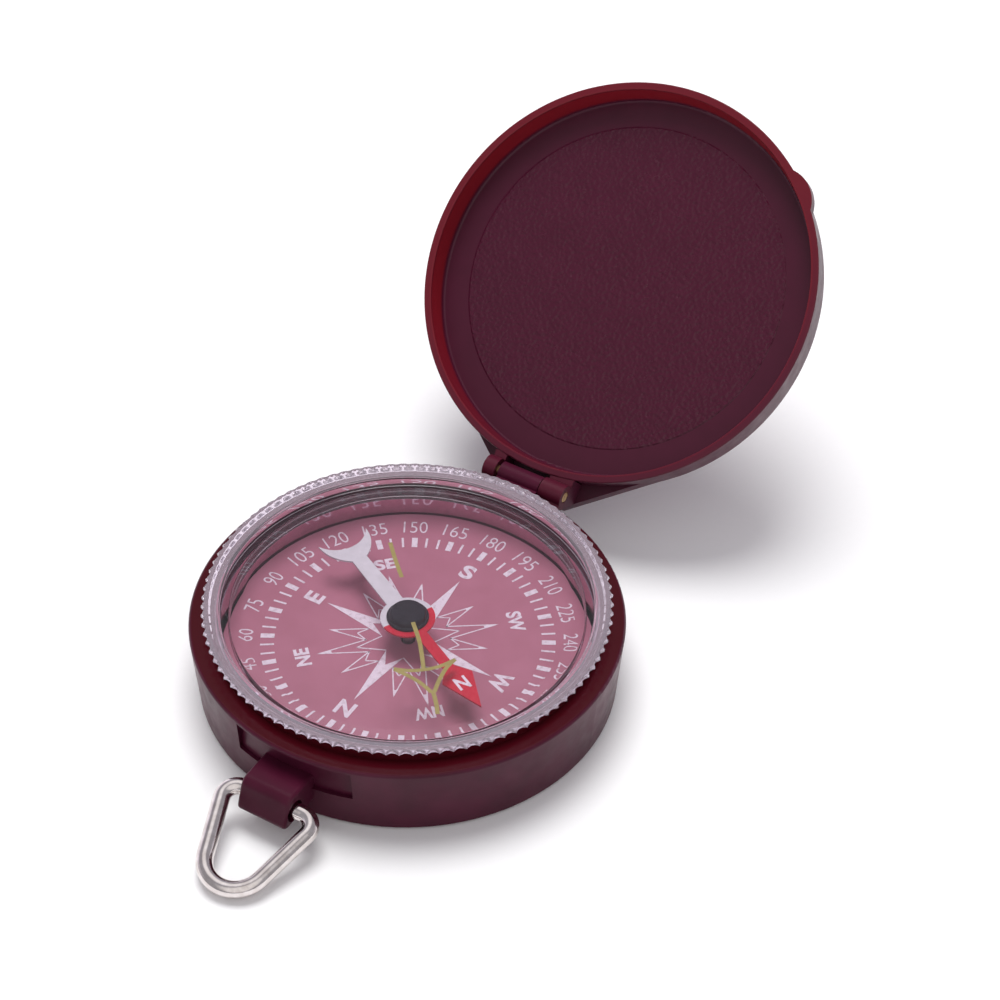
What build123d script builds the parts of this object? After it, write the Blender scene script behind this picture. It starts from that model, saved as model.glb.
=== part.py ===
# Pocket compass: a moulded plastic case with a hinged lid, a clear turning crystal with a scalloped
# rim, a printed dial within a bright liner, a magnetised needle on a pivot pin, and a wire ring hung
# in a lug.
# Millimetres, +Z up. The origin is the middle of the case's underside; the hinge lies towards +Y
# and the lug towards -Y. The lid is drawn open, the way it is photographed.
import os
from math import asin, atan2, cos, hypot, radians, sin, tan

from build123d import *

os.makedirs("parts", exist_ok=True)


def round_edge(builder, point):
    """Return the circular edge of a part that passes nearest to a point."""
    return builder.edges().filter_by(GeomType.CIRCLE).sort_by_distance(point)[0]


# Driving sizes of the case
case_radius = 22.5
case_height = 8.5
foot_inset = 0.65
floor_thickness = 1.5
edge_round = 0.35

# Driving sizes of the crystal
rim_inset = 1.4
rim_thickness = 0.55
window_thickness = 1.25
skirt_wall = 1.2
tooth_count = 100
tooth_depth = 0.35

# Driving sizes of the dial and the needle
dial_thickness = 0.4
liner_thickness = 0.12
hub_gap = 0.58
needle_lift = 3.05
needle_thickness = 0.2
needle_reach = 14.65
needle_tail = 13.9
needle_bearing = -27.2

# Driving sizes of the lid and the hinge
lid_depth = 3.0
lid_panel = 1.4
open_angle = 138.3
tab_bearing = -46
knuckle_radius = 1.3
barrel_radius = 1.15
pin_radius = 0.65
hinge_start = -5.1
hinge_end = 4.7
narrow_knuckle = 1.45
wide_knuckle = 2.75
ear_slant = 52

# Driving sizes of the lug and the wire ring
lug_half = 2.9
lug_length = 4.3
lug_height = 3.55
lug_bottom = 2.3
lug_nose = 1.2
lug_heel = 0.55
lug_round = 0.4
pocket_half = 6.65
pocket_shift = 0.45
pocket_depth = 0.75
hole_radius = 1.2
wire_radius = 0.875
ring_half = 5.35
ring_length = 10.2
apex_radius = 3.2
corner_radius = 1.5
ring_shift = 0.3
ring_yaw = 4
ring_roll = 3

# Clearances
lid_gap = 0.15
turn_gap = 0.2
wide_gap = 0.4
knuckle_gap = 0.15
barrel_gap = 0.25
pin_gap = 0.05
stop_gap = 0.1
dial_gap = 0.3
tip_gap = 0.06
ground_gap = 0.23

# Levels and radii that follow from the driving sizes
foot_radius = case_radius - foot_inset
rim_radius = case_radius - rim_inset
neck_outer = rim_radius - 0.7
neck_inner = neck_outer - 0.65
neck_top = case_height + 1.25
groove_radius = neck_inner + 0.35
chamber_radius = neck_inner - 0.35
ridge_under = case_height - 0.6
rim_under = neck_top + turn_gap
rim_top = rim_under + rim_thickness
window_top = rim_under
window_under = window_top - window_thickness
skirt_outer = neck_inner - turn_gap
skirt_inner = skirt_outer - skirt_wall
bead_top = ridge_under - turn_gap
skirt_bottom = bead_top - 0.75
groove_under = skirt_bottom - turn_gap
cap_top = window_under - hub_gap
needle_top = cap_top - 0.82
needle_under = needle_top - needle_thickness
dial_top = needle_under - needle_lift
dial_under = dial_top - dial_thickness
dial_radius = chamber_radius - dial_gap
hinge_y = case_radius + 1.55
hinge_z = case_height - 0.25
lid_rim_level = case_height + lid_gap
lid_height = lid_depth + lid_panel

# The lid's own plane: its rim, turned open about the hinge axis
turn = radians(open_angle)
lid_up = (0, sin(turn), cos(turn))
lid_back = (0, cos(turn), -sin(turn))
rim_rise = lid_rim_level - hinge_z
lid_origin = (
    0,
    hinge_y - hinge_y * cos(turn) + rim_rise * sin(turn),
    hinge_z + hinge_y * sin(turn) + rim_rise * cos(turn),
)
lid_plane = Plane(origin=lid_origin, x_dir=(1, 0, 0), z_dir=lid_up)

# Ends of the case's own hinge knuckle along X
barrel_start = hinge_start + narrow_knuckle + wide_gap
barrel_end = hinge_end - wide_knuckle - knuckle_gap
barrel_length = barrel_end - barrel_start

# The lug, and the axis of the hole through it
lug_reach = case_radius + lug_length
lug_top = lug_bottom + lug_height
hole_y = -(lug_reach - 1.9)
hole_z = lug_bottom + lug_height * 0.4


# Case: one moulding with the neck for the crystal, the dial's support ring, the pivot boss,
# the lug and the middle knuckle of the hinge.
lug_root = groove_radius + 0.4
with BuildPart() as base_case:
    with BuildSketch(Plane.XZ):
        with BuildLine():
            Polyline(
                (0, 0),
                (foot_radius, 0),
                (case_radius, case_height),
                (neck_outer, case_height),
                (neck_outer, neck_top),
                (neck_inner, neck_top),
                (neck_inner, ridge_under),
                (groove_radius, ridge_under - 0.2),
                (groove_radius, groove_under),
                (chamber_radius, groove_under - 0.35),
                (chamber_radius, floor_thickness),
                (0, floor_thickness),
                close=True,
            )
        make_face()
    revolve(axis=Axis.Z)
    fillet(round_edge(base_case, (case_radius, 0, case_height)), radius=edge_round)
    chamfer(round_edge(base_case, (foot_radius, 0, 0)), length=edge_round)
    # support ring and boss under the dial
    with BuildSketch(Plane.XY.offset(floor_thickness - 0.1)):
        Circle(dial_radius - 1.6)
        Circle(dial_radius - 2.8, mode=Mode.SUBTRACT)
        Circle(2.0)
    extrude(amount=dial_under - floor_thickness + 0.1)
    # shallow pocket behind the lug, under the lip
    with BuildSketch(Plane.XY.offset(case_height * 0.5)):
        with Locations((pocket_shift, -case_radius)):
            Rectangle(2 * pocket_half, 10)
        Circle(case_radius - pocket_depth, mode=Mode.SUBTRACT)
    extrude(amount=case_height * 0.44, mode=Mode.SUBTRACT)
    # lug with a rounded nose and rounded sides
    with BuildPart(mode=Mode.PRIVATE) as lug:
        with BuildSketch(Plane.YZ.offset(-lug_half)) as lug_outline:
            with BuildLine():
                Polyline(
                    (-lug_root, lug_top),
                    (-(lug_reach - lug_nose), lug_top),
                    (-(lug_reach + 0.15), lug_bottom),
                    (-lug_root, lug_bottom),
                    close=True,
                )
            make_face()
            front_corners = lug_outline.vertices().filter_by(lambda corner: corner.X < -lug_root - 1)
            fillet(front_corners.sort_by(Axis.Y)[-1], radius=lug_nose)
            fillet(lug_outline.vertices().sort_by(Axis.X)[0], radius=lug_heel)
        extrude(amount=2 * lug_half)
        side_edges = lug.faces().filter_by(Axis.X).edges()
        fillet(side_edges.filter_by(lambda edge: edge.center().Y < -lug_root - 0.1), radius=lug_round)
    add(lug.part)
    with BuildSketch(Plane.YZ.offset(-lug_half - 1)):
        with Locations((hole_y, hole_z)):
            Circle(hole_radius)
    extrude(amount=2 * lug_half + 2, mode=Mode.SUBTRACT)
    # middle hinge knuckle with its bracket
    with BuildSketch(Plane.YZ.offset(barrel_start)):
        with Locations((hinge_y, hinge_z)):
            Circle(barrel_radius)
        with BuildLine():
            Polyline(
                (groove_radius + 1.2, case_height),
                (hinge_y, case_height),
                (hinge_y + barrel_radius * 0.8, hinge_z - barrel_radius * 0.6),
                (groove_radius + 1.2, case_height * 0.6),
                close=True,
            )
        make_face()
    extrude(amount=barrel_length)
    with BuildSketch(Plane.YZ.offset(barrel_start - 1)):
        with Locations((hinge_y, hinge_z)):
            Circle(pin_radius + pin_gap)
    extrude(amount=barrel_length + 2, mode=Mode.SUBTRACT)
    # blind hole for the pivot pin
    with BuildSketch(Plane.XY.offset(floor_thickness * 0.5)):
        Circle(0.55)
    extrude(amount=dial_under, mode=Mode.SUBTRACT)
base_case.part.label = "base_case"
export_step(base_case.part, "parts/base_case.step")


# Lid: a shallow moulded cap with a thumb tab, and an ear behind it that carries two knuckles.
# The ear's sides run on as tangents of the cap. The heel of the knuckles meets the case wall and
# stops the lid.
lid_wall_top = case_radius - 0.35
lid_face_radius = rim_radius + 0.2
lid_rim_inner = case_radius - 0.85
ear_radius = case_radius - 0.48
ear_tip = hinge_y + 1.25
slant = radians(ear_slant)
ear_tip_half = (ear_radius - ear_tip * sin(slant)) / cos(slant)
axis_rise = hinge_z - lid_rim_level
heel_drop = 0.7
heel_reach = (hinge_y - case_radius + 0.15 - stop_gap - heel_drop * sin(turn)) / -cos(turn)
lid_section = Plane(origin=lid_origin, x_dir=(1, 0, 0), z_dir=(0, -cos(turn), sin(turn)))
with BuildPart() as lid_shell:
    with BuildSketch(lid_section):
        with BuildLine():
            Polyline(
                (0, lid_depth),
                (lid_face_radius, lid_depth),
                (lid_rim_inner, 0),
                (case_radius, 0),
                (lid_wall_top, lid_height),
                (0, lid_height),
                close=True,
            )
        make_face()
    revolve(axis=Axis(lid_origin, lid_up))
    rounds = (
        (lid_wall_top, lid_height, 0.5),
        (lid_face_radius, lid_depth, 0.3),
        (lid_rim_inner, 0, 0.12),
        (case_radius, 0, 0.15),
    )
    for edge_radius, edge_depth, round_radius in rounds:
        edge_point = lid_plane.from_local_coords((edge_radius, 0, edge_depth))
        fillet(round_edge(lid_shell, edge_point), radius=round_radius)
    # ear that runs on from the top panel
    with BuildSketch(lid_plane.offset(lid_depth - 0.2)):
        with BuildLine():
            Polyline(
                (-ear_radius * cos(slant), ear_radius * sin(slant)),
                (-ear_tip_half, ear_tip),
                (ear_tip_half, ear_tip),
                (ear_radius * cos(slant), ear_radius * sin(slant)),
                close=True,
            )
        make_face()
        Circle(case_radius - 0.6, mode=Mode.SUBTRACT)
    extrude(amount=lid_height - lid_depth + 0.2)
    # thumb tab on the rim
    with BuildSketch(lid_plane):
        with Locations(Rotation(0, 0, tab_bearing) * Pos(case_radius - 3.3, 0)):
            Circle(4.0)
        Circle(case_radius - 0.5, mode=Mode.SUBTRACT)
    extrude(amount=1.3)
    # the two outer knuckles with their arms and heels
    for start, end in ((hinge_start, hinge_start + narrow_knuckle), (hinge_end - wide_knuckle, hinge_end)):
        side = Plane(origin=lid_plane.from_local_coords((start, 0, 0)), x_dir=lid_back, z_dir=(1, 0, 0))
        with BuildSketch(side):
            with Locations((hinge_y, axis_rise)):
                Circle(knuckle_radius)
            with BuildLine():
                Polyline(
                    (hinge_y, axis_rise - heel_drop),
                    (hinge_y + heel_reach, axis_rise - heel_drop),
                    (hinge_y + heel_reach, axis_rise + 0.3),
                    (hinge_y + 0.2, lid_depth - 0.1),
                    (case_radius - 0.5, lid_depth - 0.1),
                    (case_radius - 0.5, 0.1),
                    (hinge_y - 1.0, 0.1),
                    close=True,
                )
            make_face()
        extrude(amount=end - start)
    # room for the case's knuckle, and the bore for the pin
    relief = Plane(
        origin=lid_plane.from_local_coords((hinge_start + narrow_knuckle, 0, 0)),
        x_dir=lid_back,
        z_dir=(1, 0, 0),
    )
    with BuildSketch(relief):
        with Locations((hinge_y, axis_rise)):
            Circle(barrel_radius + barrel_gap)
    extrude(amount=barrel_length + wide_gap + knuckle_gap, mode=Mode.SUBTRACT)
    with BuildSketch(Plane.YZ.offset(hinge_start - 1)):
        with Locations((hinge_y, hinge_z)):
            Circle(pin_radius)
    extrude(amount=hinge_end - hinge_start + 2, mode=Mode.SUBTRACT)
lid_shell.part.label = "lid_shell"
export_step(lid_shell.part, "parts/lid_shell.step")


# Hinge pin: a plain brass rod pressed into the lid's two knuckles.
with BuildPart() as hinge_pin:
    with BuildSketch(Plane.YZ.offset(hinge_start + 0.15)):
        with Locations((hinge_y, hinge_z)):
            Circle(pin_radius)
    extrude(amount=hinge_end - hinge_start - 0.15)
    chamfer(hinge_pin.faces().sort_by(Axis.X)[-1].edges(), length=0.12)
hinge_pin.part.label = "hinge_pin"
export_step(hinge_pin.part, "parts/hinge_pin.step")


# Crystal: one clear moulding, a window with a skirt that snaps under the case's neck and a rim
# with scallops to turn it by.
scallop_chord = 3.1416 * rim_radius / tooth_count * 0.94
scallop_radius = (scallop_chord**2 / tooth_depth + tooth_depth) / 2
with BuildPart() as crystal:
    with BuildSketch(Plane.XZ):
        with BuildLine():
            Polyline(
                (0, window_under),
                (skirt_inner, window_under),
                (skirt_inner, skirt_bottom),
                (skirt_outer, skirt_bottom),
                (skirt_outer, bead_top - 0.6),
                (neck_inner + 0.17, bead_top - 0.4),
                (neck_inner + 0.17, bead_top - 0.15),
                (skirt_outer, bead_top),
                (skirt_outer, rim_under),
                (rim_radius, rim_under),
                (rim_radius, rim_top - 0.2),
                (rim_radius - 0.25, rim_top),
                (neck_outer - 0.05, rim_top),
                (neck_outer - 0.3, window_top + 0.15),
                (skirt_outer - 0.2, window_top + 0.15),
                (skirt_outer - 0.35, window_top),
                (0, window_top),
                close=True,
            )
        make_face()
    revolve(axis=Axis.Z)
    fillet(round_edge(crystal, (skirt_inner, 0, window_under)), radius=0.2)
    fillet(round_edge(crystal, (neck_outer - 0.05, 0, rim_top)), radius=0.15)
    fillet(round_edge(crystal, (skirt_outer - 0.2, 0, window_top + 0.15)), radius=0.1)
    with BuildSketch(Plane.XY.offset(rim_under - 0.1)):
        with PolarLocations(rim_radius - tooth_depth + scallop_radius, tooth_count):
            Circle(scallop_radius)
    extrude(amount=rim_thickness + 0.2, mode=Mode.SUBTRACT)
crystal.part.label = "crystal"
export_step(crystal.part, "parts/crystal.step")


# Dial: a printed plastic disc lying on the case's support ring, with a hole for the pivot pin.
with BuildPart() as dial_card:
    with BuildSketch(Plane.XY.offset(dial_under)):
        Circle(dial_radius)
        Circle(0.75, mode=Mode.SUBTRACT)
    extrude(amount=dial_thickness)
dial_card.part.label = "dial_card"
export_step(dial_card.part, "parts/dial_card.step")


# Liner: a thin bright strip bent to a ring and sprung against the wall round the dial.
with BuildPart() as dial_liner:
    with BuildSketch(Plane.XY.offset(dial_under)):
        Circle(chamber_radius)
        Circle(chamber_radius - liner_thickness, mode=Mode.SUBTRACT)
    extrude(amount=groove_under - 0.4 - dial_under)
dial_liner.part.label = "dial_liner"
export_step(dial_liner.part, "parts/dial_liner.step")


# Pivot pin: a turned steel pin pressed into the case's boss, ground to a point under the hub.
tip_level = needle_top + 0.2
with BuildPart() as pivot_pin:
    with BuildSketch(Plane.XZ):
        with BuildLine():
            Polyline(
                (0, floor_thickness * 0.5),
                (0.55, floor_thickness * 0.5),
                (0.55, needle_under - 1.2),
                (0.06, tip_level),
                (0, tip_level),
                close=True,
            )
        make_face()
    revolve(axis=Axis.Z)
pivot_pin.part.label = "pivot_pin"
export_step(pivot_pin.part, "parts/pivot_pin.step")


# Needle: stamped spring steel with an arrow head, a round middle and a crescent tail,
# drawn at the bearing where it came to rest.
needle_plane = Plane.XY.offset(needle_under) * Rotation(0, 0, needle_bearing)
with BuildPart() as needle:
    with BuildSketch(needle_plane):
        Circle(2.85)
        with BuildLine():
            Polyline(
                (2.4, -0.6),
                (needle_reach * 0.57, -0.6),
                (needle_reach * 0.68, -1.75),
                (needle_reach, 0),
                (needle_reach * 0.68, 1.75),
                (needle_reach * 0.57, 0.6),
                (2.4, 0.6),
                close=True,
            )
        make_face()
        with BuildLine():
            Polyline((-needle_tail * 0.73, 0.85), (-2.6, 0.95), (-2.6, -0.95), (-needle_tail * 0.73, -0.85))
            ThreePointArc(
                (-needle_tail * 0.73, -0.85), (-needle_tail * 0.83, -2.2), (-needle_tail, -2.85)
            )
            ThreePointArc((-needle_tail, -2.85), (-needle_tail * 0.872, 0), (-needle_tail, 2.85))
            ThreePointArc((-needle_tail, 2.85), (-needle_tail * 0.83, 2.2), (-needle_tail * 0.73, 0.85))
        make_face()
        Circle(1.25, mode=Mode.SUBTRACT)
    extrude(amount=needle_thickness)
needle.part.label = "needle"
export_step(needle.part, "parts/needle.step")


# Hub cap: a black plastic cap whose spigot passes through the needle and is spread below it.
cup_top = cap_top - 0.3
with BuildPart() as hub_cap:
    with BuildSketch(Plane.XZ):
        with BuildLine():
            Polyline(
                (0, cup_top),
                (0.9, cup_top),
                (0.9, needle_under - 0.45),
                (1.75, needle_under - 0.45),
                (1.75, needle_under),
                (1.25, needle_under),
                (1.25, needle_top),
                (2.2, needle_top),
                (2.2, needle_top + 0.25),
                (1.95, needle_top + 0.3),
                (1.8, cap_top),
                (0, cap_top),
                close=True,
            )
        make_face()
    revolve(axis=Axis.Z)
    fillet(round_edge(hub_cap, (1.8, 0, cap_top)), radius=0.3)
    fillet(round_edge(hub_cap, (2.2, 0, needle_top + 0.25)), radius=0.12)
hub_cap.part.label = "hub_cap"
export_step(hub_cap.part, "parts/hub_cap.step")


# Bearing cup: a small brass cup pressed into the hub cap; its cone rides on the pivot's point.
with BuildPart() as bearing_cup:
    with BuildSketch(Plane.XZ):
        with BuildLine():
            Polyline(
                (0, tip_level + tip_gap),
                (0.12, tip_level + tip_gap),
                (0.72, needle_under - 0.3),
                (0.72, needle_under - 0.45),
                (0.9, needle_under - 0.45),
                (0.9, cup_top),
                (0, cup_top),
                close=True,
            )
        make_face()
    revolve(axis=Axis.Z)
bearing_cup.part.label = "bearing_cup"
export_step(bearing_cup.part, "parts/bearing_cup.step")


# Lanyard ring: round wire bent to a rounded triangle, its straight side loose in the lug's hole,
# its far end just clear of the ground.
drop = asin((hole_z - wire_radius - ground_gap) / ring_length)
bar = Vector(1, 0, 0).rotate(Axis.Y, ring_roll).rotate(Axis.Z, ring_yaw)
level = Vector(0, -1, 0).rotate(Axis.Z, ring_yaw)
down = bar.cross(level)
ring_middle = (ring_shift, hole_y, hole_z)
ring_plane = Plane(origin=ring_middle, x_dir=bar, z_dir=down * cos(drop) - level * sin(drop))
# the legs are tangents from the sharp corners to the arc at the far end
arc_middle = ring_length - apex_radius
lean = atan2(ring_half, arc_middle) - asin(apex_radius / hypot(ring_half, arc_middle))
bisect = (radians(90) - lean) / 2
corner_run = corner_radius / tan(bisect)
corner_depth = corner_radius / sin(bisect) - corner_radius
with BuildPart() as lanyard_ring:
    with BuildLine(ring_plane) as wire_path:
        leg_start = (ring_half - corner_run * sin(lean), corner_run * cos(lean))
        leg_end = (apex_radius * cos(lean), arc_middle + apex_radius * sin(lean))
        corner_mid = (ring_half - corner_depth * cos(bisect), corner_depth * sin(bisect))
        Line((0, 0), (ring_half - corner_run, 0))
        ThreePointArc((ring_half - corner_run, 0), corner_mid, leg_start)
        Line(leg_start, leg_end)
        ThreePointArc(leg_end, (0, ring_length), (-leg_end[0], leg_end[1]))
        Line((-leg_end[0], leg_end[1]), (-leg_start[0], leg_start[1]))
        ThreePointArc(
            (-leg_start[0], leg_start[1]), (-corner_mid[0], corner_mid[1]), (corner_run - ring_half, 0)
        )
        Line((corner_run - ring_half, 0), (0, 0))
    with BuildSketch(Plane(origin=ring_middle, z_dir=bar)):
        Circle(wire_radius)
    sweep(path=wire_path.wires()[0])
lanyard_ring.part.label = "lanyard_ring"
export_step(lanyard_ring.part, "parts/lanyard_ring.step")
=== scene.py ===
import math

import bmesh
import bpy
from mathutils import Matrix, Vector


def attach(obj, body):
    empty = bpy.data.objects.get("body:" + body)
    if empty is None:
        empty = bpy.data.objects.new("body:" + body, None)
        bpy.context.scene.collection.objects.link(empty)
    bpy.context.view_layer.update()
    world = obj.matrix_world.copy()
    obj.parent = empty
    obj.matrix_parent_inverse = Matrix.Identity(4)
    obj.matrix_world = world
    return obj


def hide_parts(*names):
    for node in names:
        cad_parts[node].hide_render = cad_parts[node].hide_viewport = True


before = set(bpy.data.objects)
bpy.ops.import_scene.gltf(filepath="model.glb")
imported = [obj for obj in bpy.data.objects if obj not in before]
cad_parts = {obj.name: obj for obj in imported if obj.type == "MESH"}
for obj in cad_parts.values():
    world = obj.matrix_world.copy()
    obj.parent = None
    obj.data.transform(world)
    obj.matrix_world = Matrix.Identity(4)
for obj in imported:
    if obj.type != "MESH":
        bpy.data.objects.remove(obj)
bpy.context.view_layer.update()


# The case is one injection moulding in burgundy styrene, with the lug and the middle hinge knuckle
# moulded on. The tool leaves a satin skin with a faint grain, and handling polishes the lip. The top land
# inside the lip is painted a deeper, darker red: painted shade.
millimetre = 0.001
base_middle = (0, 0, 0)
upward = (0, 0, 1)
burgundy_deep = (0.050, 0.0045, 0.0165)
burgundy_light = (0.072, 0.0068, 0.0245)
# a deeper, darker red for the top land inside the lip: painted shade
burgundy_lip_painted_shade = (0.052, 0.0022, 0.0045)


class Finish:
    """A material being made up: its shader, its place on the piece, and short ways to add to it."""

    # nearly all of a cloudy factor lies between these two
    cloud_low = 0.3
    cloud_high = 0.7

    def __init__(self, name):
        self.material = bpy.data.materials.new(name)
        self.material.use_nodes = True
        self.tree = self.material.node_tree
        self.shader = self.tree.nodes["Principled BSDF"]
        self.place = self.add("TexCoord").outputs["Object"]

    def add(self, kind, **values):
        """Add a node and set its options and its input values by name."""
        node = self.tree.nodes.new("ShaderNode" + kind)
        for key, value in values.items():
            if hasattr(node, key):
                setattr(node, key, value)
            else:
                node.inputs[key].default_value = value
        return node

    def join(self, source, target):
        """Feed one socket into another, which may be named as an input of the shader."""
        if isinstance(target, str):
            target = self.shader.inputs[target]
        self.tree.links.new(source, target)

    def fix(self, **values):
        """Set inputs of the shader that are the same all over."""
        for key, value in values.items():
            self.shader.inputs[key.replace("_", " ")].default_value = value

    def speckle(self, size, detail=3.0):
        """Cloudy variation whose blotches are about this many millimetres across."""
        node = self.add("TexNoise", Scale=1 / (size * millimetre), Detail=detail)
        self.join(self.place, node.inputs["Vector"])
        return node.outputs["Fac"]

    def colours(self, factor, *stops):
        """Turn a factor into a colour that runs through the given stops."""
        node = self.add("ValToRGB")
        self.join(factor, node.inputs["Fac"])
        ramp = node.color_ramp
        while len(ramp.elements) < len(stops):
            ramp.elements.new(0.5)
        for element, (position, colour) in zip(ramp.elements, stops):
            element.position = position
            element.color = (*colour, 1)
        return node.outputs["Color"]

    def shade(self, cloud, dark, light):
        """A colour that drifts between two shades with a cloudy factor."""
        return self.colours(cloud, (self.cloud_low, dark), (self.cloud_high, light))

    def spread(self, factor, low, high, low_out, high_out):
        """Stretch the part of a factor between low and high to another pair of values."""
        node = self.add("MapRange", clamp=True)
        self.join(factor, node.inputs["Value"])
        for name, value in zip(("From Min", "From Max", "To Min", "To Max"), (low, high, low_out, high_out)):
            node.inputs[name].default_value = value
        return node.outputs["Result"]

    def drift(self, cloud, low_out, high_out):
        """A value that drifts between two others with a cloudy factor."""
        return self.spread(cloud, self.cloud_low, self.cloud_high, low_out, high_out)

    def fades(self, distance, low, high, full=1.0):
        """A share that falls from full to nothing between two distances in millimetres."""
        return self.spread(distance, low * millimetre, high * millimetre, full, 0.0)

    def rises(self, distance, low, high):
        """A share that rises from nothing to one between two distances in millimetres."""
        return self.spread(distance, low * millimetre, high * millimetre, 0.0, 1.0)

    def sums(self, operation, first, second):
        """Combine two factors, or a factor and a number."""
        node = self.add("Math", operation=operation)
        for socket, value in zip(node.inputs, (first, second)):
            if isinstance(value, (int, float)):
                socket.default_value = value
            else:
                self.join(value, socket)
        return node.outputs["Value"]

    def mingle(self, factor, first, second):
        """Mix two colours by a factor; each may be a socket or a plain colour."""
        node = self.add("Mix", data_type="RGBA")
        self.join(factor, node.inputs[0])
        for socket, value in zip((node.inputs[6], node.inputs[7]), (first, second)):
            if isinstance(value, tuple):
                socket.default_value = (*value, 1)
            else:
                self.join(value, socket)
        return node.outputs[2]

    def relief(self, height, depth, strength=1.0, over=None):
        """Raise the surface by a height factor times a depth in millimetres."""
        node = self.add("Bump", Strength=strength, Distance=depth * millimetre)
        self.join(height, node.inputs["Height"])
        if over:
            self.join(over, node.inputs["Normal"])
        return node.outputs["Normal"]

    def offset(self, point):
        """Where a spot of the piece lies from a point, in metres."""
        off = self.add("VectorMath", operation="SUBTRACT")
        self.join(self.place, off.inputs[0])
        off.inputs[1].default_value = point
        return off.outputs[0]

    def from_axis(self, point, direction):
        """Distance from an axis, in metres: the length of the cross product with its direction."""
        cross = self.add("VectorMath", operation="CROSS_PRODUCT")
        self.join(self.offset(point), cross.inputs[0])
        cross.inputs[1].default_value = direction
        length = self.add("VectorMath", operation="LENGTH")
        self.join(cross.outputs[0], length.inputs[0])
        return length.outputs["Value"]

    def along(self, point, direction):
        """Distance along a direction from a point, in metres."""
        dot = self.add("VectorMath", operation="DOT_PRODUCT")
        self.join(self.offset(point), dot.inputs[0])
        dot.inputs[1].default_value = direction
        return dot.outputs["Value"]

    def dress(self, node_name):
        """Give a solid of the model this finish."""
        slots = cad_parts[node_name].data.materials
        slots.clear()
        slots.append(self.material)


case_finish = Finish("case_plastic")
case_blotch = case_finish.speckle(5.0)
case_grain = case_finish.speckle(0.22, 4.0)
case_rubbed = case_finish.speckle(1.6, 5.0)
lip_most = 0.9
lip_across = case_finish.fades(case_finish.from_axis(base_middle, upward), 22.1, 22.4, lip_most)
lip_height = case_finish.rises(case_finish.along(base_middle, upward), 7.9, 8.3)
# the top land is polished, and is also painted a deeper, darker red as painted shade
lip_share = case_finish.sums("MULTIPLY", lip_across, lip_height)
case_colour = case_finish.colours(case_blotch, (0.35, burgundy_deep), (0.65, burgundy_light))
case_finish.join(case_finish.mingle(lip_share, case_colour, burgundy_lip_painted_shade), "Base Color")
case_rough = case_finish.drift(case_rubbed, 0.30, 0.42)
case_polish = case_finish.spread(lip_share, 0.0, lip_most, 1.0, 0.4)
case_finish.join(case_finish.sums("MULTIPLY", case_rough, case_polish), "Roughness")
case_finish.join(case_finish.relief(case_grain, 0.012, 0.5), "Normal")
case_finish.fix(Specular_IOR_Level=0.2)
case_finish.dress("base_case")


# The dial is a die-cut disc of rose-red plastic, printed in white with a sixteen-point rose, ticks
# every five degrees and the bearings every fifteen. It lies on the case's support ring.
dial_level = 4.05
ink_lift = 0.02
ink_layer = 0.006
rose_tip = 10.15
rose_shoulder = 4.15
rose_shoulder_half = 0.82
rose_valley = 4.36
diagonal_tip = 9.7
diagonal_solid = 8.1
diagonal_half = 0.24
diagonal_foot = 4.43
diagonal_foot_turn = 11.5
diagonal_notch = 5.43
minor_tip = 8.4
minor_solid = 7.4
minor_half = 0.2
minor_foot = 4.35
minor_foot_turn = 11.2
minor_notch = 5.35
hub_corner = 2.75
hub_corner_turn = 22.5
rose_line = 0.14
tick_inner = 13.88
tick_outer = 15.33
tick_wide = 0.62
tick_thin = 0.24
numeral_ring = 17.0
numeral_height = 1.75
numeral_width = 0.87
numeral_weight = -0.006
numeral_spacing = 1.02
letter_weight = 0.035
dial_dark = (0.432, 0.152, 0.219)
dial_light = (0.482, 0.177, 0.253)
ink_worn = (0.64, 0.50, 0.58)
ink_plain = (0.80, 0.67, 0.77)
ink_thick = (0.86, 0.73, 0.83)

dial_finish = Finish("dial_plastic")
dial_blotch = dial_finish.speckle(3.5)
dial_grain = dial_finish.speckle(0.3, 4.0)
dial_finish.join(dial_finish.shade(dial_blotch, dial_dark, dial_light), "Base Color")
dial_finish.join(dial_finish.drift(dial_grain, 0.42, 0.56), "Roughness")
dial_finish.join(dial_finish.relief(dial_grain, 0.01, 0.35), "Normal")
dial_finish.fix(Specular_IOR_Level=0.3)
dial_finish.dress("dial_card")

ink_finish = Finish("dial_ink")
ink_wear = ink_finish.speckle(0.5, 4.0)
ink_colour = ink_finish.colours(ink_wear, (0.32, ink_worn), (0.46, ink_plain), (0.7, ink_thick))
ink_finish.join(ink_colour, "Base Color")
ink_finish.join(ink_finish.drift(ink_wear, 0.5, 0.38), "Roughness")
ink_finish.join(ink_finish.relief(ink_wear, 0.008, 0.4), "Normal")


def at_bearing(bearing, radius, across=0.0):
    """A point on the dial in millimetres: north lies towards the lug, bearings run clockwise."""
    turn = math.radians(bearing)
    outward = Vector((-math.sin(turn), -math.cos(turn)))
    clockwise = Vector((-math.cos(turn), math.sin(turn)))
    return outward * radius + clockwise * across


def stroke(start, end, width):
    """The four corners of a straight printed line."""
    side = (end - start).normalized().orthogonal() * width / 2
    return [start + side, start - side, end - side, end + side]


def settle(name, build, finish, body):
    """Turn a flat print drawn in millimetres into a piece that rides on a body."""
    bmesh.ops.scale(build, vec=(millimetre, millimetre, millimetre), verts=build.verts)
    mesh = bpy.data.meshes.new(name)
    build.to_mesh(mesh)
    build.free()
    mesh.materials.append(finish.material)
    piece = bpy.data.objects.new(name, mesh)
    bpy.context.scene.collection.objects.link(piece)
    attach(piece, body)


def printed(name, shapes, level, finish, body):
    """One flat printed piece made of shapes given as corner points in millimetres."""
    build = bmesh.new()
    for corners in shapes:
        face = build.faces.new([build.verts.new((c.x, c.y, level)) for c in corners])
        face.normal_update()
        if face.normal.z < 0:
            face.normal_flip()
    settle(name, build, finish, body)


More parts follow.
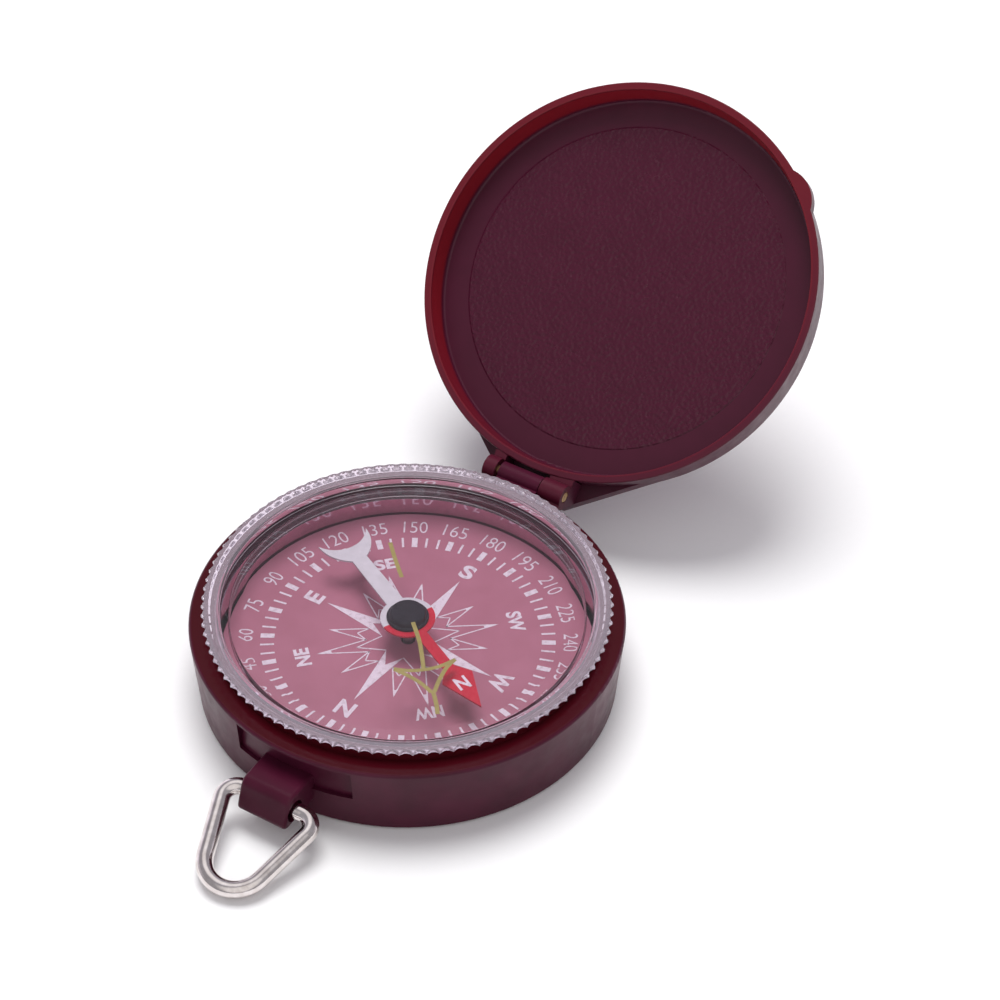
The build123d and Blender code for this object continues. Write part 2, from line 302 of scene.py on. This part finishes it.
rose_shapes = []
point_shapes = []
corner_turn = math.radians(hub_corner_turn)
corner_out = hub_corner * math.cos(corner_turn)
corner_across = hub_corner * math.sin(corner_turn)
for bearing in (0, 90, 180, 270):
    for side in (-1, 1):
        rose_shapes.append(
            [
                at_bearing(bearing, rose_tip),
                at_bearing(bearing, rose_shoulder, side * rose_shoulder_half),
                at_bearing(bearing, corner_out, side * corner_across),
                at_bearing(bearing, rose_valley),
            ]
        )
for bearing in (45, 135, 225, 315):
    solid_corners = [at_bearing(bearing, diagonal_solid, half) for half in (diagonal_half, -diagonal_half)]
    point_shapes.append([at_bearing(bearing, diagonal_tip), *solid_corners])
    tip = at_bearing(bearing, diagonal_tip - 0.3)
    notch = at_bearing(bearing, diagonal_notch)
    for side in (-1, 1):
        foot = at_bearing(bearing + side * diagonal_foot_turn, diagonal_foot)
        rose_shapes.append(stroke(tip, foot, rose_line))
        corner = at_bearing(bearing + side * hub_corner_turn, hub_corner)
        rose_shapes.append(stroke(notch, corner, rose_line))
for bearing in range(0, 360, 45):
    middle = bearing + 22.5
    solid_corners = [at_bearing(middle, minor_solid, half) for half in (minor_half, -minor_half)]
    point_shapes.append([at_bearing(middle, minor_tip), *solid_corners])
    tip = at_bearing(middle, minor_tip - 0.25)
    notch = at_bearing(middle, minor_notch)
    for side in (-1, 1):
        foot = at_bearing(middle + side * minor_foot_turn, minor_foot)
        rose_shapes.append(stroke(tip, foot, rose_line))
        rose_shapes.append(stroke(notch, foot, rose_line))
ink_level = dial_level + ink_lift
printed("dial_rose", rose_shapes, ink_level, ink_finish, "case")
printed("dial_points", point_shapes, ink_level + ink_layer, ink_finish, "case")

tick_shapes = []
for bearing in range(0, 360, 5):
    width = tick_wide if bearing % 15 == 0 else tick_thin
    tick_shapes.append(stroke(at_bearing(bearing, tick_inner), at_bearing(bearing, tick_outer), width))
printed("dial_ticks", tick_shapes, ink_level, ink_finish, "case")


def word_mesh(words, height, width_each, bold, spacing=1.0):
    """Set a word in the built-in typeface, sized in millimetres and centred on the origin."""
    curve = bpy.data.curves.new("word", "FONT")
    curve.body = words
    curve.fill_mode = "FRONT"
    curve.offset = bold
    curve.space_character = spacing
    setter = bpy.data.objects.new("word", curve)
    bpy.context.scene.collection.objects.link(setter)
    bpy.context.view_layer.update()
    mesh = bpy.data.meshes.new_from_object(setter)
    bpy.data.objects.remove(setter)
    points = [vertex.co for vertex in mesh.vertices]
    low = Vector((min(p.x for p in points), min(p.y for p in points), 0))
    high = Vector((max(p.x for p in points), max(p.y for p in points), 0))
    wide = width_each * len(words) / (high.x - low.x)
    tall = height / (high.y - low.y)
    mesh.transform(Matrix.Diagonal((wide, tall, 1, 1)) @ Matrix.Translation(-(low + high) / 2))
    return mesh


def lettered(name, words, level, finish, body):
    """One flat printed piece made of words, each with its centre and its upward direction."""
    build = bmesh.new()
    for word, centre, top in words:
        up = Vector((top.x, top.y, 0)).normalized()
        right = Vector((up.y, -up.x, 0))
        seat = Matrix((right, up, Vector((0, 0, 1)))).transposed().to_4x4()
        seat.translation = Vector((centre.x, centre.y, level))
        word.transform(seat)
        build.from_mesh(word)
        bpy.data.meshes.remove(word)
    settle(name, build, finish, body)


numerals = []
for bearing in range(15, 360, 15):
    figure = word_mesh(str(bearing), numeral_height, numeral_width, numeral_weight, numeral_spacing)
    numerals.append((figure, at_bearing(bearing, numeral_ring), at_bearing(bearing, 1)))
lettered("dial_numerals", numerals, ink_level, ink_finish, "case")

# bearing, letters, height, width of each, distance out and sideways shift
letter_places = (
    (0, "N", 2.05, 1.85, 11.6, 0.1),
    (90, "E", 2.05, 1.35, 11.7, 0.0),
    (180, "S", 2.05, 1.5, 11.75, 0.0),
    (270, "W", 2.05, 2.6, 11.25, 0.13),
    (45, "NE", 1.6, 1.25, 11.15, -0.1),
    (135, "SE", 1.6, 1.2, 11.5, 0.0),
    (225, "SW", 1.6, 1.45, 11.5, 0.0),
    (315, "NW", 1.6, 1.5, 10.65, 0.15),
)
letters = []
for bearing, letter, tall, wide, out, across in letter_places:
    word = word_mesh(letter, tall, wide, letter_weight)
    letters.append((word, at_bearing(bearing, out, across), at_bearing(bearing, 1)))
lettered("dial_letters", letters, ink_level, ink_finish, "case")


# The liner is a thin bright strip, polished and bent to a ring that springs against the wall round the
# dial. It throws the figures back towards the eye, a little dulled and rosy.
liner_dark = (0.64, 0.45, 0.53)
liner_light = (0.72, 0.51, 0.60)

liner_finish = Finish("liner_strip")
liner_cloud = liner_finish.speckle(0.7, 4.0)
liner_finish.join(liner_finish.shade(liner_cloud, liner_dark, liner_light), "Base Color")
liner_finish.join(liner_finish.drift(liner_cloud, 0.06, 0.12), "Roughness")
liner_finish.join(liner_finish.relief(liner_cloud, 0.003, 0.3), "Normal")
liner_finish.fix(Metallic=1.0)
liner_finish.dress("dial_liner")


# The pivot is a turned steel pin pressed into the boss under the dial. Its ground point carries the
# needle, so it is bright, with fine turning rings.
steel_dark = (0.42, 0.42, 0.43)
steel_light = (0.58, 0.57, 0.56)

pivot_finish = Finish("pivot_steel")
pivot_rings = pivot_finish.add("TexWave", bands_direction="Z", Scale=4000.0, Distortion=1.5, Detail=2.0)
pivot_finish.join(pivot_finish.place, pivot_rings.inputs["Vector"])
pivot_finish.join(pivot_finish.shade(pivot_finish.speckle(0.4), steel_dark, steel_light), "Base Color")
pivot_finish.join(pivot_finish.spread(pivot_rings.outputs["Fac"], 0.0, 1.0, 0.2, 0.34), "Roughness")
pivot_finish.join(pivot_finish.relief(pivot_rings.outputs["Fac"], 0.004, 0.4), "Normal")
pivot_finish.fix(Metallic=1.0)
pivot_finish.dress("pivot_pin")


# The needle is stamped from thin spring steel and dipped in two enamels: red towards its head, white
# towards its crescent tail. An N in white is stamped on the head.
needle_turn = math.radians(-27.2)
needle_along = Vector((math.cos(needle_turn), math.sin(needle_turn), 0))
needle_level = 7.3
mark_out = 10.9
mark_height = 1.75
mark_width = 1.35
mark_weight = 0.03
red_dark = (0.53, 0.011, 0.034)
red_light = (0.61, 0.015, 0.044)
white_dark = (0.62, 0.57, 0.625)
white_light = (0.70, 0.64, 0.705)

needle_finish = Finish("needle_enamel")
needle_cloud = needle_finish.speckle(1.2, 4.0)
needle_pits = needle_finish.speckle(0.18, 3.0)
red_enamel = needle_finish.shade(needle_cloud, red_dark, red_light)
white_enamel = needle_finish.shade(needle_cloud, white_dark, white_light)
red_share = needle_finish.rises(needle_finish.along(base_middle, needle_along), -0.03, 0.03)
needle_finish.join(needle_finish.mingle(red_share, white_enamel, red_enamel), "Base Color")
needle_finish.join(needle_finish.drift(needle_pits, 0.2, 0.3), "Roughness")
needle_finish.fix(Specular_IOR_Level=0.3)
needle_finish.join(needle_finish.relief(needle_pits, 0.006, 0.4), "Normal")
needle_finish.dress("needle")

mark_up = needle_along.to_2d()
mark = [(word_mesh("N", mark_height, mark_width, mark_weight), mark_up * mark_out, mark_up)]
lettered("needle_mark", mark, needle_level + ink_lift, ink_finish, "needle")


# The hub cap is a small black moulding riveted through the needle; the brass cup pressed into it
# rides on the pivot's point.
black_deep = (0.012, 0.008, 0.013)
black_light = (0.022, 0.015, 0.024)
cup_dark = (0.52, 0.34, 0.12)
cup_light = (0.66, 0.46, 0.18)

hub_finish = Finish("hub_plastic")
hub_cloud = hub_finish.speckle(0.5, 4.0)
hub_finish.join(hub_finish.shade(hub_cloud, black_deep, black_light), "Base Color")
hub_finish.join(hub_finish.drift(hub_cloud, 0.18, 0.28), "Roughness")
hub_finish.fix(Specular_IOR_Level=0.3)
hub_finish.join(hub_finish.relief(hub_finish.speckle(0.15), 0.008, 0.5), "Normal")
hub_finish.dress("hub_cap")

cup_finish = Finish("cup_brass")
cup_cloud = cup_finish.speckle(0.3, 4.0)
cup_finish.join(cup_finish.shade(cup_cloud, cup_dark, cup_light), "Base Color")
cup_finish.join(cup_finish.drift(cup_cloud, 0.22, 0.4), "Roughness")
cup_finish.join(cup_finish.relief(cup_cloud, 0.004, 0.4), "Normal")
cup_finish.fix(Metallic=1.0)
cup_finish.dress("bearing_cup")


# The crystal is one clear styrene moulding: a polished window, a short skirt whose bead snaps under the
# case's neck so that it turns, and a hundred-toothed rim for the fingers. The rim is left as it comes
# from the tool, a little hazy, while lamps shine through the window.
window_top = 9.95
window_under = 8.7
window_edge = 18.35
window_flat = 9.0
skirt_bottom = 6.95
skirt_outer = 19.55
bead_outer = 19.92
rim_top = 10.5
rim_inner = 19.2
tooth_tip = 21.1
tooth_count = 100
scallop_radius = 0.7296
scallop_middle = 21.48
steps_per_tooth = 8


def eased(corners, pieces=3):
    """Points along a run of corners (radius, height, rounding), each corner turned by a small arc."""
    points = [Vector(corners[0][:2])]
    for before, corner, after in zip(corners, corners[1:], corners[2:]):
        middle = Vector(corner[:2])
        if not corner[2]:
            points.append(middle)
            continue
        to_before = Vector(before[:2]) - middle
        to_after = Vector(after[:2]) - middle
        reach = min(corner[2], to_before.length * 0.45, to_after.length * 0.45)
        first = middle + to_before.normalized() * reach
        last = middle + to_after.normalized() * reach
        for step in range(pieces + 1):
            t = step / pieces
            points.append(first * (1 - t) ** 2 + middle * 2 * t * (1 - t) + last * t**2)
    points.append(Vector(corners[-1][:2]))
    return points


def scalloped(turn):
    """Radius of the toothed rim at a turn in radians: a ring of hollows ground into the edge."""
    pitch = 2 * math.pi / tooth_count
    off = (turn + pitch / 2) % pitch - pitch / 2
    across = scallop_middle * math.sin(off)
    if abs(across) >= scallop_radius:
        return tooth_tip
    return min(tooth_tip, scallop_middle * math.cos(off) - math.sqrt(scallop_radius**2 - across**2))


crystal_edge = eased(
    [
        (window_flat, window_under, 0),
        (16.95, window_under, 0),
        (17.05, window_under, 0),
        (17.15, window_under - 0.006, 0),
        (18.15, window_under - 0.066, 0),
        (window_edge, window_under - 0.078, 0.12),
        (window_edge, skirt_bottom, 0.08),
        (skirt_outer, skirt_bottom, 0.08),
        (skirt_outer, 7.1, 0.05),
        (bead_outer, 7.3, 0.06),
        (bead_outer, 7.55, 0.06),
        (skirt_outer, 7.7, 0.05),
        (skirt_outer, window_top, 0.05),
        (tooth_tip, window_top, 0.04),
        (tooth_tip, 10.3, 0.06),
        (20.85, rim_top, 0.06),
        (20.35, rim_top, 0.12),
        (20.1, 10.1, 0.08),
        (19.35, 10.1, 0.1),
        (rim_inner, window_top, 0.05),
        (19.08, window_top, 0),
        (18.8, window_top, 0),
        (window_flat, window_top, 0),
    ]
)
crystal_mesh = bpy.data.meshes.new("crystal_clear")
crystal_build = bmesh.new()
crystal_steps = tooth_count * steps_per_tooth
crystal_rings = []
for step in range(crystal_steps):
    turn = 2 * math.pi * step / crystal_steps
    limit = scalloped(turn)
    ring = []
    for point in crystal_edge:
        out = min(point.x, limit) * millimetre
        spot = (out * math.cos(turn), out * math.sin(turn), point.y * millimetre)
        ring.append(crystal_build.verts.new(spot))
    crystal_rings.append(ring)
centre_under = crystal_build.verts.new((0, 0, window_under * millimetre))
centre_top = crystal_build.verts.new((0, 0, window_top * millimetre))
window_slot, skirt_slot, rim_slot = 0, 1, 2
for step in range(crystal_steps):
    here, there = crystal_rings[step], crystal_rings[(step + 1) % crystal_steps]
    for face_verts in ((centre_under, there[0], here[0]), (centre_top, here[-1], there[-1])):
        crystal_build.faces.new(face_verts).material_index = window_slot
    for low in range(len(crystal_edge) - 1):
        face = crystal_build.faces.new((here[low], there[low], there[low + 1], here[low + 1]))
        inner = min(crystal_edge[low].x, crystal_edge[low + 1].x)
        height = min(crystal_edge[low].y, crystal_edge[low + 1].y)
        if inner > rim_inner - 0.06 and height > window_top - 0.06:
            face.material_index = rim_slot
        elif inner < window_edge - 1.5:
            face.material_index = window_slot
        else:
            face.material_index = skirt_slot
bmesh.ops.recalc_face_normals(crystal_build, faces=crystal_build.faces)
for face in crystal_build.faces:
    face.smooth = True
crystal_build.to_mesh(crystal_mesh)
crystal_build.free()
crystal_mesh.set_sharp_from_angle(angle=math.radians(40))
crystal_clear = bpy.data.objects.new("crystal_clear", crystal_mesh)
bpy.context.scene.collection.objects.link(crystal_clear)


def clear_plastic(name, haze):
    """Clear styrene that lamps shine through: polished glass, or a hazier skin over it."""
    finish = Finish(name)
    if haze:
        body = finish.shader
        frost = finish.speckle(0.35, 4.0)
        finish.join(finish.shade(frost, (0.80, 0.71, 0.80), (0.89, 0.80, 0.90)), "Base Color")
        finish.join(finish.drift(frost, 0.03, 0.08), "Roughness")
        finish.join(finish.relief(frost, 0.008, 0.3), "Normal")
        finish.fix(Transmission_Weight=1 - haze, IOR=1.5)
    else:
        finish.tree.nodes.remove(finish.shader)
        body = finish.add("BsdfGlass", Color=(0.975, 0.972, 0.98, 1), Roughness=0.0, IOR=1.5)
    opened = finish.add("BsdfTransparent", Color=(0.94, 0.935, 0.945, 1))
    path = finish.add("LightPath")
    mix = finish.add("MixShader")
    passing = finish.sums("MAXIMUM", path.outputs["Is Shadow Ray"], path.outputs["Is Diffuse Ray"])
    finish.join(passing, mix.inputs["Fac"])
    finish.join(body.outputs["BSDF"], mix.inputs[1])
    finish.join(opened.outputs["BSDF"], mix.inputs[2])
    finish.join(mix.outputs["Shader"], finish.tree.nodes["Material Output"].inputs["Surface"])
    return finish.material


for name, haze in (("clear_window", 0), ("clear_skirt", 0), ("clear_rim", 0.15)):
    crystal_mesh.materials.append(clear_plastic(name, haze))
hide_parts("crystal")
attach(crystal_clear, "crystal")


# The index is an arrow and a tail line printed in olive yellow under the window, so it turns with
# the crystal when a course is set.
index_level = window_under - 0.02
index_width = 0.44
index_layer = 0.004
olive_dark = (0.33, 0.265, 0.075)
olive_light = (0.41, 0.335, 0.105)

index_finish = Finish("index_ink")
index_cloud = index_finish.speckle(0.6, 4.0)
index_finish.join(index_finish.shade(index_cloud, olive_dark, olive_light), "Base Color")
index_finish.join(index_finish.drift(index_cloud, 0.4, 0.55), "Roughness")
index_finish.join(index_finish.relief(index_cloud, 0.006, 0.4), "Normal")


def polar(azimuth, radius):
    """A point in millimetres at an azimuth from the X axis."""
    return Vector((math.cos(math.radians(azimuth)), math.sin(math.radians(azimuth)))) * radius


def ribbon(points, width):
    """Four-cornered shapes that follow a run of points at an even width."""
    sides = []
    for i, point in enumerate(points):
        ahead = points[min(i + 1, len(points) - 1)] - points[max(i - 1, 0)]
        sides.append(ahead.normalized().orthogonal() * width / 2)
    edges = [(point + side, point - side) for point, side in zip(points, sides)]
    return [[*here, *reversed(there)] for here, there in zip(edges, edges[1:])]


def through(points, pieces=6):
    """Points along a smooth curve that passes through the given ones."""
    run = [points[0] * 2 - points[1], *points, points[-1] * 2 - points[-2]]
    curve = []
    for a, b, c, d in zip(run, run[1:], run[2:], run[3:]):
        for step in range(pieces):
            t = step / pieces
            bend = a * 2 - b * 5 + c * 4 - d
            twist = b * 3 - a - c * 3 + d
            curve.append((b * 2 + (c - a) * t + bend * t**2 + twist * t**3) / 2)
    return curve + [points[-1]]


# azimuth and radius of the points that each stroke runs through
index_strokes = {
    "index_back": ((133.5, 9.9), (133, 7.2), (130.5, 4.5)),
    "index_stem": ((-43, 2.2), (-43.4, 4.9), (-45.3, 6.9), (-47, 9.1)),
    "index_bar": ((-66.3, 8.8), (-56.9, 8.95), (-47, 9.0), (-36.7, 9.0), (-24.4, 8.9)),
    "index_left": ((-66, 8.85), (-55.8, 9.8), (-49.8, 10.9), (-46, 12.2)),
    "index_right": ((-24.6, 8.85), (-32.9, 9.45), (-40.3, 10.8), (-44.6, 12.2)),
    "index_tail": ((-45.2, 12.0), (-45.4, 13.8), (-46, 15.2)),
}
for layer, (name, places) in enumerate(index_strokes.items()):
    shapes = ribbon(through([polar(*place) for place in places]), index_width)
    printed(name, shapes, index_level - index_layer * layer, index_finish, "crystal")


# The lid is a shallow cap moulded in the same burgundy styrene, with the ear and two hinge knuckles on
# it. Inside, its panel is grained like leather within a smooth border. Its inner wall and rim are painted a
# brighter red, strongest towards one side: painted glow that stands in for light through the thin walls.
hinge_point = Vector((0, 24.05, 8.25))
lid_turn = math.radians(138.3)
lid_up = Vector((0, math.sin(lid_turn), math.cos(lid_turn)))
# the way towards which the painted glow on the inner wall and rim grows stronger
painted_glow_way = Vector((-0.6, -0.8 * math.cos(lid_turn), 0.8 * math.sin(lid_turn)))
lid_rim_rise = 0.4
lid_middle = Vector(
    (
        0,
        hinge_point.y - hinge_point.y * math.cos(lid_turn) + lid_rim_rise * math.sin(lid_turn),
        hinge_point.z + hinge_point.y * math.sin(lid_turn) + lid_rim_rise * math.cos(lid_turn),
    )
)
grain_radius = 18.3
grain_blend = 0.15
grain_size = 0.42
painted_glow_most = 0.9
lid_deep = (0.060, 0.0060, 0.0205)
lid_light = (0.066, 0.0067, 0.0228)
# brighter reds for the rim and the inner wall: painted glow of light through the thin plastic
burgundy_rim_painted_glow = (0.140, 0.0068, 0.0150)
burgundy_wall_painted_glow = (0.265, 0.0090, 0.0165)

lid_finish = Finish("lid_plastic")
lid_blotch = lid_finish.speckle(2.5)
lid_origin = lid_middle * millimetre
lid_radius_at = lid_finish.from_axis(lid_origin, lid_up)
lid_depth_at = lid_finish.along(lid_origin, lid_up)
grain_edge = lid_finish.fades(lid_radius_at, grain_radius - grain_blend, grain_radius)
lid_inside = lid_finish.fades(lid_depth_at, 3.1, 3.3)
grain_share = lid_finish.sums("MULTIPLY", grain_edge, lid_inside)
leather = lid_finish.add("TexVoronoi", feature="SMOOTH_F1", Smoothness=0.7)
leather.inputs["Scale"].default_value = 1 / (grain_size * millimetre)
lid_finish.join(lid_finish.place, leather.inputs["Vector"])
leather_height = lid_finish.sums("ADD", leather.outputs["Distance"], lid_finish.speckle(0.5, 2.0))
grain_height = lid_finish.sums("MULTIPLY", leather_height, grain_share)
fine_relief = lid_finish.relief(lid_finish.speckle(0.25, 4.0), 0.01, 0.4)
# painted glow: a brighter red on the inner wall band and the rim, stronger towards one side
painted_glow_at = lid_finish.along(lid_origin, painted_glow_way)
painted_glow_side = lid_finish.spread(painted_glow_at, -16.0 * millimetre, 4.0 * millimetre, 0.25, 1.0)
wall_painted_glow = painted_glow_side
for share in (
    lid_finish.fades(lid_depth_at, 2.2, 2.8, painted_glow_most),
    lid_finish.rises(lid_radius_at, 21.0, 21.3),
    lid_finish.fades(lid_radius_at, 21.7, 21.9),
):
    wall_painted_glow = lid_finish.sums("MULTIPLY", wall_painted_glow, share)
rim_painted_glow = painted_glow_side
for share in (
    lid_finish.fades(lid_depth_at, 0.1, 0.4, painted_glow_most),
    lid_finish.rises(lid_radius_at, 21.4, 21.6),
):
    rim_painted_glow = lid_finish.sums("MULTIPLY", rim_painted_glow, share)
lid_colour = lid_finish.shade(lid_blotch, lid_deep, lid_light)
lid_colour = lid_finish.mingle(wall_painted_glow, lid_colour, burgundy_wall_painted_glow)
lid_finish.join(lid_finish.mingle(rim_painted_glow, lid_colour, burgundy_rim_painted_glow), "Base Color")
lid_rough = lid_finish.drift(lid_finish.speckle(1.4, 5.0), 0.34, 0.46)
grain_polish = lid_finish.spread(grain_share, 0.0, 1.0, 1.0, 0.62)
lid_finish.join(lid_finish.sums("MULTIPLY", lid_rough, grain_polish), "Roughness")
lid_finish.join(lid_finish.relief(grain_height, 0.1, 0.85, fine_relief), "Normal")
lid_finish.fix(Specular_IOR_Level=0.3)
lid_finish.dress("lid_shell")


# The hinge pin is a length of drawn brass rod, cut off square and pressed through the lid's knuckles.
# The case's knuckle turns on it, and only its end shows.
brass_dark = (0.50, 0.30, 0.12)
brass_light = (0.72, 0.50, 0.24)

brass_finish = Finish("pin_brass")
brass_cloud = brass_finish.speckle(0.25, 4.0)
brass_finish.join(brass_finish.shade(brass_cloud, brass_dark, brass_light), "Base Color")
brass_finish.join(brass_finish.drift(brass_cloud, 0.2, 0.4), "Roughness")
brass_finish.join(brass_finish.relief(brass_cloud, 0.01, 0.5), "Normal")
brass_finish.fix(Metallic=1.0)
brass_finish.dress("hinge_pin")


# The ring is nickel-plated steel wire bent to a rounded triangle, hung loose in the lug. The plating
# is bright, with drawing marks along the wire.
nickel_dark = (0.66, 0.60, 0.575)
nickel_light = (0.84, 0.785, 0.77)

ring_finish = Finish("ring_plating")
ring_cloud = ring_finish.speckle(0.9, 4.0)
ring_draw = ring_finish.speckle(0.12, 3.0)
ring_finish.join(ring_finish.shade(ring_cloud, nickel_dark, nickel_light), "Base Color")
ring_finish.join(ring_finish.drift(ring_draw, 0.07, 0.15), "Roughness")
ring_finish.join(ring_finish.relief(ring_draw, 0.006, 0.3), "Normal")
ring_finish.fix(Metallic=1.0)
ring_finish.dress("lanyard_ring")


# The studio is a wide sheet of white paper under a soft round lamp, which hangs overhead and a little
# behind. A pale panel stands round the camera, and the surroundings are brightest low down behind the
# compass. Far from the compass the paper and the sky run out to plain white.
paper_reach = 3.0
paper_dark = (0.955, 0.955, 0.957)
paper_light = (0.965, 0.965, 0.967)
white_start = 120.0
white_full = 400.0
lamp_width = 0.55
lamp_power = 5.7
lamp_distance = 0.9
lamp_lean_back = math.radians(19)
lamp_lean_left = math.radians(3)
view_turn = math.radians(30.681)
view_rise = math.radians(42.392)

paper = bpy.data.meshes.new("studio_floor")
paper_build = bmesh.new()
bmesh.ops.create_grid(paper_build, x_segments=2, y_segments=2, size=paper_reach)
paper_build.to_mesh(paper)
paper_build.free()
studio_floor = bpy.data.objects.new("studio_floor", paper)
bpy.context.scene.collection.objects.link(studio_floor)
paper_finish = Finish("studio_paper")
paper_finish.tree.nodes.remove(paper_finish.shader)
paper_sheet = paper_finish.add("BsdfDiffuse")
paper_tone = paper_finish.shade(paper_finish.speckle(0.8, 3.0), paper_dark, paper_light)
paper_finish.join(paper_tone, paper_sheet.inputs["Color"])
paper_white = paper_finish.add("Emission", Color=(1, 1, 1, 1), Strength=1.0)
paper_far = paper_finish.rises(paper_finish.from_axis(base_middle, upward), white_start, white_full)
paper_seen = paper_finish.add("LightPath").outputs["Is Camera Ray"]
paper_mix = paper_finish.add("MixShader")
paper_finish.join(paper_finish.sums("MULTIPLY", paper_far, paper_seen), paper_mix.inputs["Fac"])
paper_finish.join(paper_sheet.outputs["BSDF"], paper_mix.inputs[1])
paper_finish.join(paper_white.outputs["Emission"], paper_mix.inputs[2])
paper_surface = paper_finish.tree.nodes["Material Output"].inputs["Surface"]
paper_finish.join(paper_mix.outputs["Shader"], paper_surface)
paper.materials.append(paper_finish.material)

image_right = Vector((math.cos(view_turn), math.sin(view_turn), 0))
view_back = Vector((-math.sin(view_turn), math.cos(view_turn), 0))
image_back = Vector((0, 0, math.sin(view_rise))) - view_back * math.cos(view_rise)
lamp_way = Vector(upward) + view_back * math.tan(lamp_lean_back) - image_right * math.tan(lamp_lean_left)
lamp_way.normalize()
lamp = bpy.data.lights.new("overhead_lamp", "AREA")
lamp.shape = "DISK"
lamp.size = lamp_width
lamp.energy = lamp_power
lamp_object = bpy.data.objects.new("overhead_lamp", lamp)
bpy.context.scene.collection.objects.link(lamp_object)
lamp_object.visible_glossy = False
lamp_object.visible_transmission = False
lamp_object.location = lamp_way * lamp_distance
lamp_object.rotation_euler = lamp_way.to_track_quat("Z", "Y").to_euler()

world = bpy.data.worlds.new("studio")
bpy.context.scene.world = world
world.use_nodes = True
sky = world.node_tree
sky_way = sky.nodes.new("ShaderNodeTexCoord").outputs["Generated"]


def sky_towards(direction, low, high):
    """A share that rises from 0 to 1 as the surroundings turn towards a direction."""
    dot = sky.nodes.new("ShaderNodeVectorMath")
    dot.operation = "DOT_PRODUCT"
    dot.inputs[1].default_value = direction
    share = sky.nodes.new("ShaderNodeMapRange")
    share.interpolation_type = "SMOOTHSTEP"
    share.inputs["From Min"].default_value = low
    share.inputs["From Max"].default_value = high
    sky.links.new(sky_way, dot.inputs[0])
    sky.links.new(dot.outputs["Value"], share.inputs["Value"])
    return share.outputs["Result"]


def sky_blend(share, first, second):
    """Mix two colours of the surroundings; each may be a plain colour or a socket."""
    mix = sky.nodes.new("ShaderNodeMix")
    mix.data_type = "RGBA"
    sky.links.new(share, mix.inputs[0])
    for socket, value in zip((mix.inputs[6], mix.inputs[7]), (first, second)):
        if isinstance(value, tuple):
            socket.default_value = (*value, 1)
        else:
            sky.links.new(value, socket)
    return mix.outputs[2]


sky_behind = sky_blend(sky_towards(upward, 0.2, 0.6), (1.0, 0.94, 1.05), (0.34, 0.325, 0.365))
sky_front = sky_blend(sky_towards(image_back, 0.72, 0.93), (0.36, 0.355, 0.38), (0.90, 0.88, 0.88))
sky_round = sky_blend(sky_towards(view_back, -0.4, 0.6), sky_front, sky_behind)
sky_colour = sky_blend(sky_towards(lamp_way, 0.88, 0.99), sky_round, (1.0, 0.98, 1.0))
sky_seen = sky.nodes.new("ShaderNodeLightPath").outputs["Is Camera Ray"]
sky_shown = sky_blend(sky_seen, sky_colour, (1.0, 1.0, 1.0))
sky.links.new(sky_shown, sky.nodes["Background"].inputs["Color"])
sky.nodes["Background"].inputs["Strength"].default_value = 1.0


# The camera looks down on the open compass from the front right with a longish lens, and is tipped by
# about a degree.
view_roll = math.radians(0.935)
eye = Vector((106.57, -161.397, 200.75))

image_up = image_back.cross(image_right)
rolled_right = image_right * math.cos(view_roll) + image_up * math.sin(view_roll)
rolled_up = image_up * math.cos(view_roll) - image_right * math.sin(view_roll)
camera = bpy.data.cameras.new("camera")
camera.lens = 95.34
camera.sensor_width = 36.0
camera.clip_start = 0.01
camera_object = bpy.data.objects.new("camera", camera)
bpy.context.scene.collection.objects.link(camera_object)
stance = Matrix((rolled_right, rolled_up, image_back)).transposed().to_4x4()
stance.translation = eye * millimetre
camera_object.matrix_world = stance
bpy.context.scene.camera = camera_object
bpy.context.scene.view_settings.view_transform = "Standard"
